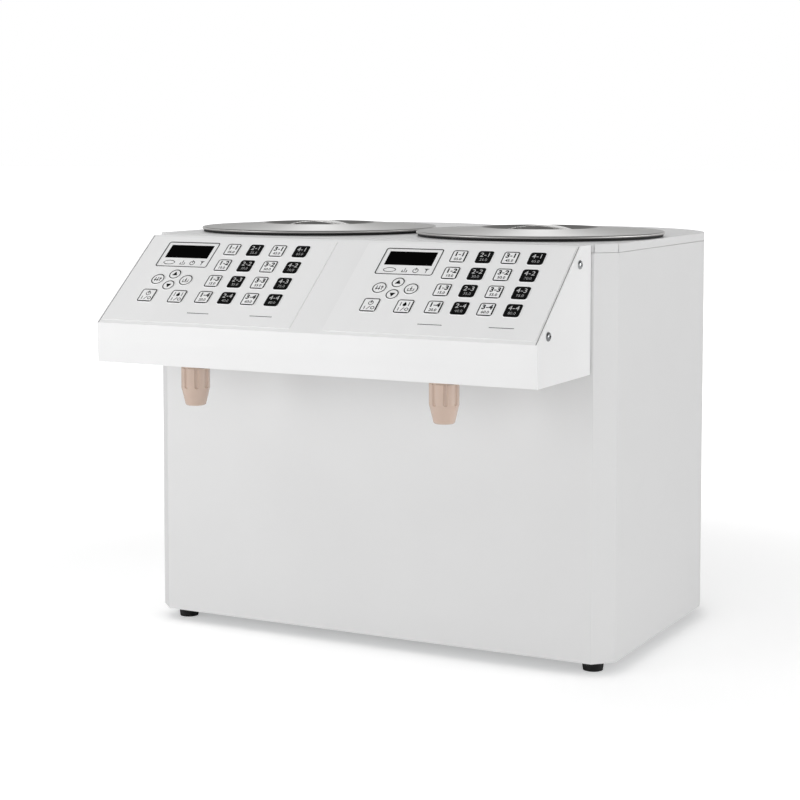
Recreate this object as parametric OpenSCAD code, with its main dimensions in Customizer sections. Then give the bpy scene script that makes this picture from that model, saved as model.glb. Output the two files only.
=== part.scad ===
// Twin countertop fructose dispenser: sheet-metal cabinet, two syrup buckets, gear pumps and a keypad head.
// Lengths are millimetres. Inside the modules X = 0 is the centre line, Y = 0 the front panel and Z = 0 the
// underside of the cabinet. on_table() moves all of it so that Z = 0 is the table and Y = 0 the middle.

/* [Cabinet] */
// Width across the flat sides
cabinet_w = 480; // [460:2:500]
// Depth from the front panel to the back of the lobes
cabinet_d = 356; // [354:1:360]
// Height of the side walls, up to the seam under the deck
wall_h = 364; // [360:1:380]
// Height of the deck rim above the seam
deck_rim_h = 7.4; // [6:0.2:9]
// Width of the 45 degree corner chamfers
chamfer = 16.4; // [12:0.2:20]
// Distance from the front panel to where the flat sides end
side_end_y = 249; // [247:1:252]
// Distance from the centre line to the middle of a rear lobe
lobe_x = 104; // [102:1:106]
// Distance from the front panel to the flat web between the lobes
web_y = 330; // [326:1:333]
// Thickness of the painted sheet metal
sheet = 1.2; // [1:0.1:1.5]

/* [Control head] */
// Width of the overhanging head
head_w = 442; // [430:1:446]
// How far the upper fascia stands in front of the front panel
head_reach = 117; // [112:1:122]
// Where the slope ends, in front of the front panel
slope_top_y = 24; // [20:1:28]
// Height of the foot of the slope
fascia_top_z = 294; // [290:1:298]
// Height of the faint fold across the fascia
fascia_fold_z = 277; // [272:1:280]
// Height of the underside of the head
head_under_z = 257.4; // [255:0.2:259]

/* [Keypads] */
// Distance from the centre line to the middle of each keypad film
pad_x = 117.2; // [116.4:0.2:118]
// Width of a keypad film
pad_w = 201.5; // [197:0.5:202]
// Height of a keypad film along the slope
pad_h = 113.5; // [110:0.5:115]
// Column pitch of the dose keys
key_pitch_x = 24.7; // [24:0.1:25]
// Row pitch of the dose keys
key_pitch_y = 21.4; // [20:0.1:21.5]

/* [Buckets and lids] */
// Distance from the centre line to a bucket's axis
bucket_x = 120.4; // [119:0.2:122]
// Distance from the front panel to a bucket's axis
bucket_y = 121.5; // [120:0.5:124]
// Inner radius of a bucket
bucket_r = 108; // [104:0.5:108.5]
// Depth of a bucket below the deck
bucket_depth = 216; // [205:1:220]
// Outer radius of a lid
lid_r = 117.6; // [117:0.2:118]

/* [Nozzles and feet] */
// Distance from the centre line to a nozzle
nozzle_x = 126.2; // [123:0.2:129]
// How far a nozzle stands in front of the front panel
nozzle_reach = 96.4; // [92:0.2:97]
// Radius of a nozzle over its flutes
nozzle_r = 13.1; // [12.7:0.1:14]
// Length of a nozzle
nozzle_len = 34.5; // [32:0.5:36]
// Height of the rubber feet
foot_h = 11; // [9:0.5:13]

/* [Hidden] */
$fn = 64;
half_w = cabinet_w / 2;
deck_z = wall_h + deck_rim_h;
y_middle = (cabinet_d - head_reach) / 2;
lobe_span = half_w - lobe_x;
lobe_rise = cabinet_d - side_end_y;
lobe_r = (lobe_span * lobe_span + lobe_rise * lobe_rise) / (2 * lobe_rise);
lobe_y = cabinet_d - lobe_r;
web_half = 26;
seam = 0.4;
joint_y = side_end_y - 3;
slope_angle = atan2(deck_z - 0.6 - fascia_top_z, head_reach - slope_top_y);
head_top_z = deck_z - 0.6;
foot_setback = 1.2;
cheek_gap = 0.8;
screw_places = [[-26.8, 355], [-95.3, 299.2]];
slit_w = 0.8;
film_t = 0.6;
film_low = 4.1;
display_pos = [-50.8, 98.1];
display_size = [47.6, 17.8];
frame_pos = [-50.7, 93.8];
frame_size = [57.2, 34.2];
dose_pos = [-5, 37.8];
dose_size = [14.8, 15.6];
arrow_pos = [-50.8, 59.1];
arrow_up = 7.4;
arrow_up_r = 6.05;
arrow_across = 15.6;
arrow_across_r = 6.7;
menu_pos = [-50.2, 37.2];
menu_across = 16.6;
menu_size = [16.1, 16.6];
bucket_t = 0.8;
flange_w = 3;
bucket_floor_z = deck_z - bucket_depth;
spout_z = bucket_floor_z - 10;
dish_z = 2.4;
rim_r = 1.3;
rim_z = 3.6;
handle_top = 10.4;
elbow_z = 124;
hose_r = 4.8;
barb_r = 3;
barb_len = 12;
pump_x = 28;
pump_y = 64;
pump_half = 20;
pump_w = 24;
port_face = 24;
gear_teeth = 16;
gear_gap = 21;
gear_tip_r = gear_gap / 2 + 1;
gear_root_r = gear_gap / 2 - 1.4;
pressure_angle = 25;
gear_w = 12;
drive_z = 50;
port_z = drive_z + gear_gap / 2;
shaft_r = 3;
fit = 0.05;
riser_bend = 18;
head_bend = 22;
hose_z = head_under_z + 16;
thread_r = 9;
collar_t = 2;
nozzle_top_z = head_under_z - collar_t - 0.3;
socket_end_z = nozzle_top_z - 8;
washer_t = 1.6;
foot_x = 216;
foot_front_y = 24;
foot_back_y = 262;
inlet_z = 46;
rocker_z = 96;
rocker_tilt = 7;
psu = [200, 98, 40];
psu_y = 196;
steel = "silver";
brass = "goldenrod";
white = "whitesmoke";
board = "darkgreen";

// ---- Shared shapes ----

module on_table() translate([0, -y_middle, foot_h]) children();

// The left hand side of the machine mirrors the right hand side
module on_side(s) on_table() mirror([s < 0 ? 1 : 0, 0, 0]) children();

module bar(x0, x1, y0, y1, z0, z1) translate([x0, y0, z0]) cube([x1 - x0, y1 - y0, z1 - z0]);

module disc(r, z0, z1) translate([0, 0, z0]) cylinder(r = r, h = z1 - z0);

module ring(r_out, r_in, z0, z1) difference() {
    disc(r_out, z0, z1);
    disc(r_in, z0 - 1, z1 + 1);
}

// A half section that reaches from the axis to r
module square_to(r, z0, z1) translate([0, z0]) square([r, z1 - z0]);

// A rectangle with round corners, made of bars and circles so that its arcs stay true
module round_rect(w, h, r) {
    square([w - 2 * r, h], center = true);
    square([w, h - 2 * r], center = true);
    for (x = [-1, 1], y = [-1, 1]) translate([x * (w / 2 - r), y * (h / 2 - r)]) circle(r);
}

// Open path to closed strip: the points, then the same points moved t to the left of the path
function unit(v) = v / norm(v);
function left_of(v) = [-v[1], v[0]];
function side_of(p, i) = left_of(unit(p[i + 1] - p[i]));
function corner_shift(a, b) = (a + b) / (1 + a * b);
function shifted(p, t) = [for (i = [0 : len(p) - 1])
    p[i] + t * corner_shift(side_of(p, max(i - 1, 0)), side_of(p, min(i, len(p) - 2)))];
function backwards(p) = [for (i = [len(p) - 1 : -1 : 0]) p[i]];
module folded(p, t) polygon(concat(p, backwards(shifted(p, t))));

// Extrudes a Y-Z outline along X, centred on x
module along_x(x, w) translate([x - w / 2, 0, 0]) rotate([90, 0, 90]) linear_extrude(w) children();

// Places children on the slope: local x along the head, local y up the slope, local z outwards
module on_slope(x, up) translate([x, -head_reach, fascia_top_z]) rotate([slope_angle, 0, 0])
    translate([0, up, 0]) children();

// The cabinet's outline seen from above, drawn inwards by i all round
module plan(i) {
    front = half_w - chamfer - i * (sqrt(2) - 1);
    corner = chamfer + i * (sqrt(2) - 1);
    intersection() {
        union() {
            polygon([[-front, i], [front, i], [half_w - i, corner], [half_w - i, lobe_y],
                [i - half_w, lobe_y], [i - half_w, corner]]);
            for (s = [-1, 1]) translate([s * lobe_x, lobe_y]) circle(lobe_r - i, $fn = 96);
            translate([-web_half, lobe_y]) square([2 * web_half, web_y - i - lobe_y]);
        }
        translate([i - half_w, 0]) square([cabinet_w - 2 * i, cabinet_d]);
    }
}

// A wall that follows the outline, between two insets and two heights
module wall(i0, i1, z0, z1) translate([0, 0, z0]) linear_extrude(z1 - z0) difference() {
    plan(i0);
    plan(i1);
}

// ---- Cabinet ----

module front_shell() color(white) on_table() difference() {
    union() {
        intersection() {
            wall(0, sheet, 0, wall_h - seam);
            bar(-half_w, half_w, 0, joint_y, 0, wall_h);
        }
        // Bent-in top ledge that the deck cover rests on
        intersection() {
            wall(sheet / 2, 9, wall_h - seam - 8 - sheet, wall_h - seam - 8);
            bar(-half_w, half_w, 0, side_end_y - 14, 0, wall_h);
        }
    }
    // Way for the hoses and wires into the head
    bar(-70, 70, -1, sheet + 10, 259, 340);
}

module rear_shell() color(white) on_table() difference() {
    union() {
        intersection() {
            wall(0, sheet, 0, wall_h - seam);
            bar(-half_w, half_w, joint_y + 0.1, cabinet_d, 0, wall_h);
        }
        // Lap strips inside the flat sides
        for (s = [-1, 1]) along_x(s * (half_w - 1.5 * sheet - 0.1), sheet) translate([side_end_y - 12, 20])
            square([16, wall_h - 40]);
    }
    // Cooling slots low on each lobe
    for (s = [-1, 1], k = [-4 : 4], row = [0, 1])
        translate([s * lobe_x, lobe_y, 40 + 46 * row]) rotate([0, 0, 7 * k])
            bar(-2, 2, lobe_r - 8, lobe_r + 2, 0, 34);
    // Mains inlet and rocker cut-outs in the web
    bar(-10.5, 10.5, web_y - 5, web_y + 1, inlet_z - 14.5, inlet_z + 14.5);
    bar(-10.7, 10.7, web_y - 5, web_y + 1, rocker_z - 7.2, rocker_z + 7.2);
}

module base_plate() color("lightgray") on_table() difference() {
    union() {
        linear_extrude(sheet) plan(sheet + 0.1);
        wall(sheet + 0.1, 2 * sheet + 0.1, 0, 14);
    }
    for (x = [-1, 1], y = [foot_front_y, foot_back_y]) translate([x * foot_x, y, 0]) disc(2.2, -1, 3);
    // Cooling slots under the power supply
    for (k = [-5 : 5]) bar(k * 14 - 2, k * 14 + 2, psu_y + 14, psu_y + psu[1] - 14, -1, sheet + 1);
}

module deck_cover() color(white) on_table() difference() {
    union() {
        translate([0, 0, deck_z - sheet]) linear_extrude(sheet) plan(0);
        wall(0, sheet, wall_h, deck_z);
        // Inner lip that drops inside the walls
        wall(sheet + 0.3, 2 * sheet + 0.3, wall_h - 7, deck_z - sheet / 2);
    }
    for (s = [-1, 1]) translate([s * bucket_x, bucket_y, deck_z - 20])
        cylinder(r = bucket_r + bucket_t + 0.4, h = 30);
    // Slits beside the folded tab of the rim at each front chamfer
    for (s = [0, 1], place = [[half_w - chamfer, 0, -67.5], [half_w, chamfer, -22.5]]) mirror([s, 0, 0])
        translate([place[0], place[1], 0]) rotate([0, 0, place[2]])
            bar(-1.4, 1, -slit_w / 2, slit_w / 2, wall_h - 1, deck_z + 1);
}

// ---- Control head ----

// One bent sheet: fascia, slope and top, closed by a cheek at each end
module head_cover() color(white) on_table() {
    outline = [[-head_reach + foot_setback, head_under_z], [-head_reach, fascia_fold_z],
        [-head_reach, fascia_top_z], [-slope_top_y, head_top_z]];
    difference() {
        union() {
            along_x(0, head_w) folded(concat(outline, [[-0.1, head_top_z]]), -sheet);
            for (s = [-1, 1]) along_x(s * (head_w - sheet) / 2, sheet)
                polygon(concat(outline, [[-cheek_gap, head_top_z], [-cheek_gap, head_under_z]]));
        }
        for (s = [-1, 1]) {
            // Windows behind the displays
            on_slope(s * pad_x + display_pos[0], display_pos[1]) translate([0, 0, -5])
                linear_extrude(10) square(display_size - [4, 4], center = true);
            // Welded seam between the slope and the cheek
            on_slope(s * (head_w / 2 - sheet - 0.4), 0) bar(-0.35, 0.35, 0, 125, -0.9, 2);
        }
        // Screw holes in the cheeks
        for (s = [-1, 1], p = screw_places) translate([s * head_w / 2, p[0], p[1]]) rotate([0, 90, 0])
            cylinder(r = 2.1, h = 8, center = true);
    }
}

module head_pan() color(white) on_table() {
    inner_w = head_w - 2 * sheet - 0.4;
    front = -head_reach + foot_setback + sheet + 0.3;
    difference() {
        union() {
            along_x(0, inner_w) folded([[front, head_under_z + 14], [front, head_under_z],
                [-0.3, head_under_z], [-0.3, head_under_z + 4]], sheet);
            // Upturned ends
            for (s = [-1, 1]) along_x(s * (inner_w - sheet) / 2, sheet)
                translate([front + sheet, head_under_z + sheet / 2]) square([-8 - front - sheet, 12]);
        }
        for (s = [-1, 1]) translate([s * nozzle_x, -nozzle_reach, head_under_z - 1])
            cylinder(r = thread_r + 0.3, h = 4);
    }
}

// Bent bracket inside a cheek, with a threaded boss behind each screw
module head_bracket(s) color("gainsboro") on_side(s) {
    face = head_w / 2 - sheet - 0.2;
    low = 270;
    high = 360.5;
    difference() {
        union() {
            along_x(face - 1, 2) polygon([[-1, low], [-100, low], [-107.5, 296], [-29, high], [-1, high]]);
            bar(face - 16, face, -2.1, -0.1, low, high);
            for (p = screw_places) translate([face - 8, p[0], p[1]]) rotate([0, 90, 0]) disc(4.5, 0, 7);
        }
        for (p = screw_places) translate([face - 9, p[0], p[1]]) rotate([0, 90, 0]) disc(2, 0, 12);
    }
}

module cheek_screws() color(steel) on_table() for (s = [-1, 1], p = screw_places)
    translate([s * head_w / 2, p[0], p[1]]) rotate([0, s * 90, 0]) {
        // Domed head: a slice of a ball
        intersection() {
            translate([0, 0, -1.8]) sphere(r = 4.2);
            disc(4, 0, 3);
        }
        disc(1.9, -8, 0.5);
    }

// Key outlines on a film: centres and sizes repeat over four columns and four rows
module dose_keys() for (c = [0 : 3], r = [0 : 3])
    translate(dose_pos + [c * key_pitch_x, r * key_pitch_y])
        round_rect(dose_size[0], dose_size[1], 2.5);

module menu_keys() {
    for (i = [-1, 1]) {
        translate(menu_pos + [i * menu_across, 0]) round_rect(menu_size[0], menu_size[1], 2.5);
        translate(arrow_pos + [0, i * arrow_up]) circle(arrow_up_r);
        translate(arrow_pos + [i * arrow_across, 0]) circle(arrow_across_r);
    }
}

module keypad_film(s) color("white") on_table() on_slope(s * pad_x, 0) {
    linear_extrude(film_t) difference() {
        translate([0, film_low + pad_h / 2]) round_rect(pad_w, pad_h, 2);
        translate(display_pos) square(display_size, center = true);
    }
    // Embossed key faces and the raised frame round the display
    translate([0, 0, film_t]) linear_extrude(0.25) {
        dose_keys();
        menu_keys();
        difference() {
            translate(frame_pos) round_rect(frame_size[0], frame_size[1], 2);
            translate(frame_pos) round_rect(frame_size[0] - 1, frame_size[1] - 1, 1.5);
        }
    }
}

module display_window(s) color("black") on_table() on_slope(s * pad_x + display_pos[0], display_pos[1])
    linear_extrude(film_t - 0.1) square(display_size - [0.2, 0.2], center = true);

module key_board(s) color(board) on_table() on_slope(s * pad_x, 0) {
    // Board with a tact switch under every key
    translate([0, 0, -10]) linear_extrude(1.6) difference() {
        translate([0, 62]) square([184, 98], center = true);
        for (x = [-88, 88], y = [18, 106]) translate([x, y]) circle(1.6);
    }
    translate([0, 0, -8.4]) linear_extrude(5) {
        for (c = [0 : 3], r = [0 : 3]) translate(dose_pos + [c * key_pitch_x, r * key_pitch_y])
            square(6, center = true);
        for (i = [-1, 1]) {
            translate(menu_pos + [i * menu_across, 0]) square(6, center = true);
            translate(arrow_pos + [0, i * arrow_up]) square(6, center = true);
            translate(arrow_pos + [i * arrow_across, 0]) square(6, center = true);
        }
    }
    // Four digit display block behind the window
    translate([display_pos[0], display_pos[1], -8.4]) linear_extrude(7) square([40, 12], center = true);
}

// ---- Buckets and lids ----

// Half section of a drum: straight wall, round knuckle and flat floor
module drum(r, floor_z, knuckle, top_z) {
    translate([0, floor_z + knuckle]) square([r, top_z - floor_z - knuckle]);
    translate([0, floor_z]) square([r - knuckle, knuckle + 1]);
    translate([r - knuckle, floor_z + knuckle]) intersection() {
        circle(knuckle);
        translate([0, -knuckle]) square([knuckle, knuckle]);
    }
}

module bucket(s) color(steel) on_side(s) translate([bucket_x, bucket_y, 0]) difference() {
    union() {
        rotate_extrude($fn = 96) difference() {
            drum(bucket_r + bucket_t, bucket_floor_z - bucket_t, 14 + bucket_t, deck_z + 0.4);
            drum(bucket_r, bucket_floor_z, 14, deck_z + 2);
        }
        // Flange on the deck
        ring(bucket_r + flange_w, bucket_r, deck_z + 0.05, deck_z + 1.05);
        // Spout under the floor
        disc(9, spout_z, bucket_floor_z - bucket_t / 2);
    }
    disc(6, spout_z - 1, bucket_floor_z + 1);
}

// Lid section: rolled rim, shallow cone up to a raised ring, then a dish in the middle
module lid(s) color(steel) on_side(s) translate([bucket_x, bucket_y, deck_z]) rotate_extrude($fn = 96) {
    ring_r = 65;
    dish_r = 50;
    translate([lid_r - rim_r, rim_z]) circle(rim_r, $fn = 24);
    folded([[lid_r - 1.9, rim_z + 1], [ring_r, 8], [dish_r + 6, 8.4], [dish_r, dish_z], [0, dish_z]], 0.8);
    // Skirt that drops inside the bucket
    translate([bucket_r - 2.2, -8]) square([0.9, 13]);
}

// Black rubber seal under the rim, stepped so that its lower part shows below the rolled edge
module lid_seal(s) color("#181818") on_side(s) translate([bucket_x, bucket_y, deck_z]) {
    seal_in = bucket_r + flange_w + 1.2;
    ring(lid_r - 1.6, seal_in, 0.3, rim_z - rim_r - 0.05);
    ring(lid_r - 2 * rim_r - 0.1, seal_in, rim_z - rim_r - 0.2, rim_z + 0.15);
}

// Strap handle: an arched strip that spans the dish, with flat welded ends
module lid_handle(s) color(steel) on_side(s) translate([bucket_x, bucket_y, deck_z]) {
    span = 27;
    rise = handle_top - dish_z;
    arch_r = (span * span + rise * rise) / (2 * rise);
    difference() {
        translate([0, 11, handle_top - arch_r]) rotate([90, 0, 0]) ring(arch_r, arch_r - 1.2, 0, 22);
        bar(-200, 200, -20, 20, -200, dish_z + 0.9);
    }
    for (x = [-1, 1]) bar(x * (span + 1) - 5, x * (span + 1) + 5, -11, 11, dish_z, dish_z + 1.2);
}

// ---- Syrup path ----

module outlet_elbow(s) color(brass) on_side(s) translate([bucket_x, bucket_y, 0]) difference() {
    union() {
        translate([0, 0, spout_z - 2]) cylinder(r = 13, h = 11, $fn = 6);
        disc(7, elbow_z, spout_z);
        translate([0, 0, elbow_z]) sphere(r = 7);
        translate([0, 0, elbow_z]) rotate([0, -90, 0]) {
            disc(5.5, 0, 12);
            disc(barb_r, 0, 26);
        }
    }
    disc(9.05, spout_z, spout_z + 20);
    disc(2, elbow_z, spout_z + 1);
    translate([0, 0, elbow_z]) rotate([0, -90, 0]) disc(2, 0, 30);
}

// A quarter bend of tube in the X-Y plane: it leaves the origin along +X and turns towards +Y
module bend(turn_r, outer, inner) translate([0, turn_r, 0]) rotate([0, 0, -90])
    rotate_extrude(angle = 90) translate([turn_r, 0]) difference() {
        circle(outer, $fn = 32);
        circle(inner, $fn = 32);
    }

// A straight tube along +X
module pipe(len, outer, inner) rotate([0, 90, 0]) ring(outer, inner, 0, len);

// Bucket to pump: along -X, a bend down, and a bend forwards into the pump
module suction_hose(s) color("ghostwhite") on_side(s) {
    elbow_tip = bucket_x - 12.2;
    pump_tip = pump_y + port_face + 0.2;
    first = 22;
    second = bucket_y - pump_tip - barb_len;
    inner = barb_r + fit;
    translate([pump_x + first, bucket_y, elbow_z]) pipe(elbow_tip - pump_x - first, hose_r, inner);
    translate([pump_x + first, bucket_y, elbow_z]) rotate([0, 0, 180]) rotate([-90, 0, 0])
        bend(first, hose_r, inner);
    translate([pump_x, bucket_y, elbow_z - first]) rotate([0, 90, 0])
        pipe(elbow_z - first - port_z - second, hose_r, inner);
    translate([pump_x, bucket_y, port_z + second]) rotate([0, 90, 0]) rotate([180, 0, 0])
        bend(second, hose_r, inner);
    translate([pump_x, pump_tip, port_z]) rotate([0, 0, 90]) pipe(barb_len, hose_r, inner);
}

// Pump to nozzle: forwards, up the front corner, through the panel and across the head
module delivery_hose(s) color("ghostwhite") on_side(s) {
    pump_tip = pump_y - port_face - 0.2;
    nozzle_tip = -nozzle_reach + 16;
    riser_y = pump_tip - barb_len - riser_bend;
    across_y = riser_y - head_bend;
    turn_y = nozzle_tip + barb_len + head_bend;
    inner = barb_r + fit;
    translate([pump_x, pump_tip, port_z]) rotate([0, 0, -90]) pipe(barb_len, hose_r, inner);
    translate([pump_x, pump_tip - barb_len, port_z]) rotate([0, 0, -90]) rotate([90, 0, 0])
        bend(riser_bend, hose_r, inner);
    translate([pump_x, riser_y, port_z + riser_bend]) rotate([0, -90, 0])
        pipe(hose_z - head_bend - port_z - riser_bend, hose_r, inner);
    translate([pump_x, riser_y, hose_z - head_bend]) rotate([0, 0, 180]) rotate([0, -90, 0])
        bend(head_bend, hose_r, inner);
    translate([pump_x, across_y, hose_z]) rotate([0, 0, -90])
        pipe(across_y - turn_y - head_bend, hose_r, inner);
    translate([pump_x, turn_y + head_bend, hose_z]) rotate([0, 0, -90]) bend(head_bend, hose_r, inner);
    translate([pump_x + head_bend, turn_y, hose_z]) pipe(nozzle_x - pump_x - 2 * head_bend, hose_r, inner);
    translate([nozzle_x - head_bend, turn_y, hose_z]) mirror([0, 1, 0]) bend(head_bend, hose_r, inner);
    translate([nozzle_x, nozzle_tip, hose_z]) rotate([0, 0, 90]) pipe(barb_len, hose_r, inner);
}

module pump_body(s) color(brass) on_side(s) difference() {
    union() {
        bar(pump_x - pump_w / 2, pump_x + pump_w / 2, pump_y - pump_half, pump_y + pump_half,
            drive_z - 18, drive_z + gear_gap + 18);
        // Hose barbs on the suction and delivery sides
        for (t = [-1, 1]) translate([pump_x, pump_y, port_z]) rotate([-t * 90, 0, 0]) {
            disc(6.5, 15, port_face);
            disc(barb_r, 15, port_face + barb_len);
        }
    }
    for (z = [drive_z, drive_z + gear_gap])
        translate([pump_x - pump_w / 2 - 1, pump_y, z]) rotate([0, 90, 0])
            disc(gear_tip_r + 0.15, 0, gear_w + 1.2);
    for (t = [-1, 1]) translate([pump_x, pump_y, port_z]) rotate([-t * 90, 0, 0]) {
        disc(1.8, 6, port_face + barb_len + 1);
        translate([6, 0, 0]) disc(4, 0, 12);
    }
    translate([pump_x, pump_y, drive_z]) rotate([0, 90, 0]) disc(shaft_r + fit, -5, pump_w);
    translate([pump_x, pump_y, drive_z + gear_gap]) rotate([0, 90, 0]) disc(shaft_r + fit, -5, 8);
}

module pump_cover(s) color("darkgoldenrod") on_side(s) difference() {
    bar(pump_x - pump_w / 2 - 6, pump_x - pump_w / 2, pump_y - pump_half, pump_y + pump_half,
        drive_z - 18, drive_z + gear_gap + 18);
    for (z = [drive_z, drive_z + gear_gap])
        translate([pump_x - pump_w / 2 - 4, pump_y, z]) rotate([0, 90, 0]) disc(shaft_r + fit, 0, 5);
    for (y = [-15, 15], z = [drive_z - 13, drive_z + gear_gap + 13])
        translate([pump_x - pump_w / 2 - 7, pump_y + y, z]) rotate([0, 90, 0]) disc(2, 0, 8);
}

// Involute tooth: polar points of one flank, from the base circle to the tip
function involute(rb, r) = let(t = sqrt(max(0, r * r / (rb * rb) - 1))) [r, t * 180 / PI - atan(t)];
function flank(rb, r0, r1, n, half) = [for (i = [0 : n]) let(q = involute(rb, r0 + (r1 - r0) * i / n))
    [q[0], half - q[1]]];
function polar(p) = [p[0] * cos(p[1]), p[0] * sin(p[1])];

module gear_outline() {
    pitch_r = gear_gap / 2;
    base_r = pitch_r * cos(pressure_angle);
    backlash = 0.12;
    half = 90 / gear_teeth - backlash / pitch_r * 90 / PI + involute(base_r, pitch_r)[1];
    tooth = flank(base_r, base_r, gear_tip_r, 4, half);
    points = concat([[gear_root_r, half + 0.6]], tooth);
    mirrored = [for (p = points) [p[0], -p[1]]];
    polygon([for (k = [0 : gear_teeth - 1], p = concat(mirrored, backwards(points)))
        polar([p[0], p[1] + k * 360 / gear_teeth])]);
}

// Both gears are turned a quarter of a pitch the same way, so that a tooth faces a gap
module gear_solid(turn) rotate([turn, 0, 0]) rotate([0, 90, 0]) rotate([0, 0, 90])
    linear_extrude(gear_w - 0.2) gear_outline();

// Drive gear cut in one with its long shaft, which reaches into the motor gearbox
module drive_gear(s) color(steel) on_side(s) translate([pump_x - pump_w / 2 + 0.1, pump_y, drive_z]) {
    gear_solid(-90 / gear_teeth);
    rotate([0, 90, 0]) disc(shaft_r, -3.6, pump_w + 12);
}

module idler_gear(s) color(steel) on_side(s)
    translate([pump_x - pump_w / 2 + 0.1, pump_y, drive_z + gear_gap]) {
        gear_solid(-90 / gear_teeth);
        rotate([0, 90, 0]) disc(shaft_r, -3.6, gear_w + 5);
    }

module motor_bracket(s) color("gainsboro") on_side(s) difference() {
    x0 = pump_x + pump_w / 2 + 0.2;
    union() {
        bar(x0, x0 + 2, pump_y - 26, pump_y + 26, sheet + 0.1, 92);
        bar(x0, x0 + 40, pump_y - 26, pump_y + 26, sheet + 0.1, sheet + 2.1);
    }
    translate([x0 - 1, pump_y, drive_z]) rotate([0, 90, 0]) disc(6, 0, 5);
    for (x = [12, 32], y = [-20, 20]) translate([x0 + x, pump_y + y, 0]) cylinder(r = 2.2, h = 6);
}

// Geared motor: gearbox, can, end cap and terminals
module pump_motor(s) color("dimgray") on_side(s) translate([pump_x + pump_w / 2 + 2.4, pump_y, drive_z])
    rotate([0, 90, 0]) difference() {
        union() {
            disc(18.5, 0, 26);
            disc(18, 26, 74);
            disc(16, 74, 78);
            disc(7, 78, 82);
            for (y = [-9, 9]) translate([-1.5, y - 0.4, 76]) cube([3, 0.8, 9]);
        }
        disc(shaft_r + fit, -1, 14);
    }

// ---- Nozzles ----

module nozzle_socket(s) color("ivory") on_side(s) translate([nozzle_x, -nozzle_reach, 0]) difference() {
    union() {
        disc(nozzle_r - 0.2, head_under_z - collar_t, head_under_z - 0.02);
        disc(thread_r, socket_end_z, hose_z - 2);
        disc(6, hose_z - 3, hose_z);
        translate([0, 0, hose_z]) sphere(r = 6);
        translate([0, 0, hose_z]) rotate([-90, 0, 0]) {
            disc(5.2, 0, 15.8);
            disc(barb_r, 0, 28);
        }
    }
    disc(2.5, socket_end_z - 1, hose_z);
    translate([0, 0, hose_z]) rotate([-90, 0, 0]) disc(2, 0, 30);
}

module socket_nut(s) color("ivory") on_side(s) translate([nozzle_x, -nozzle_reach, 0]) difference() {
    translate([0, 0, head_under_z + sheet + 0.02]) cylinder(r = 14, h = 5, $fn = 6);
    disc(thread_r + 0.05, head_under_z, head_under_z + 10);
}

module nozzle_washer(s) color("dimgray") on_side(s) translate([nozzle_x, -nozzle_reach, 0])
    ring(thread_r - 0.3, 4.5, socket_end_z - 0.1 - washer_t, socket_end_z - 0.1);

// Screw-on nozzle: eight long flutes that run out above a tapered, rounded end
module nozzle(s) color("bisque") on_side(s) translate([nozzle_x, -nozzle_reach, 0]) {
    end_z = nozzle_top_z - nozzle_len;
    taper_z = nozzle_top_z - nozzle_len * 0.52;
    tip_r = 9.7;
    round_r = 2.5;
    flute_r = 2.2;
    // Angle of the first flute, as each nozzle happens to be screwed in
    turn = s < 0 ? 7.5 : 30.5;
    difference() {
        rotate_extrude($fn = 96) difference() {
            polygon(concat([[0, nozzle_top_z], [nozzle_r, nozzle_top_z], [nozzle_r, taper_z]],
                [for (a = [0 : 15 : 90]) [tip_r - round_r * (1 - cos(a)), end_z + round_r * (1 - sin(a))]],
                [[0, end_z]]));
            square_to(thread_r + 0.08, socket_end_z - washer_t - 0.3, nozzle_top_z + 1);
            square_to(4.5, end_z - 1, nozzle_top_z);
        }
        for (k = [0 : 7]) rotate([0, 0, 45 * k + turn]) translate([nozzle_r + 0.5, 0, taper_z + 1.4]) {
            cylinder(r = flute_r, h = 40, $fn = 24);
            sphere(r = flute_r, $fn = 24);
        }
    }
}

// ---- Electrics ----

module driver_board(s) color(board) on_side(s) translate([150, 120, sheet]) {
    for (x = [6, 64], y = [6, 94]) translate([x, y, 0]) disc(3, 0, 8.05);
    bar(0, 70, 0, 100, 8, 9.6);
    bar(8, 38, 4, 14, 9.6, 22);
    bar(44, 64, 20, 40, 9.6, 25);
    bar(10, 30, 60, 64, 9.6, 38);
    for (x = [16, 32, 48]) translate([x, 82, 9.5]) cylinder(r = 6.3, h = 22);
}

module power_supply() color("lightsteelblue") on_table() difference() {
    bar(-psu[0] / 2, psu[0] / 2, psu_y, psu_y + psu[1], sheet + 0.1, sheet + 0.1 + psu[2]);
    // Terminal bay at one end
    bar(psu[0] / 2 - 14, psu[0] / 2 + 1, psu_y + 3, psu_y + psu[1] - 3, 18, 60);
    // Cooling slots in the lid
    for (k = [-6 : 6]) bar(k * 12 - 2 - 8, k * 12 + 2 - 8, psu_y + 12, psu_y + psu[1] - 12, psu[2] - 3, 60);
}

// Appliance inlet with its flange upright, a shaped recess and three blades
module mains_inlet() color("#202020") on_table() translate([0, web_y, inlet_z]) rotate([90, 0, 180]) {
    difference() {
        union() {
            linear_extrude(2.6) difference() {
                round_rect(28, 50, 4);
                for (y = [-20, 20]) translate([0, y]) circle(1.7);
            }
            translate([0, 0, -21]) linear_extrude(22) square([20.4, 28.4], center = true);
        }
        translate([0, 0, -17]) linear_extrude(30) polygon([[-8, -12.2], [5.5, -12.2], [8, -9.7], [8, 9.7],
            [5.5, 12.2], [-8, 12.2]]);
    }
    for (p = [[-2, -7], [-2, 7], [3, 0]]) translate([p[0] - 2, p[1] - 1, -19]) cube([4, 2, 15]);
}

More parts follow.
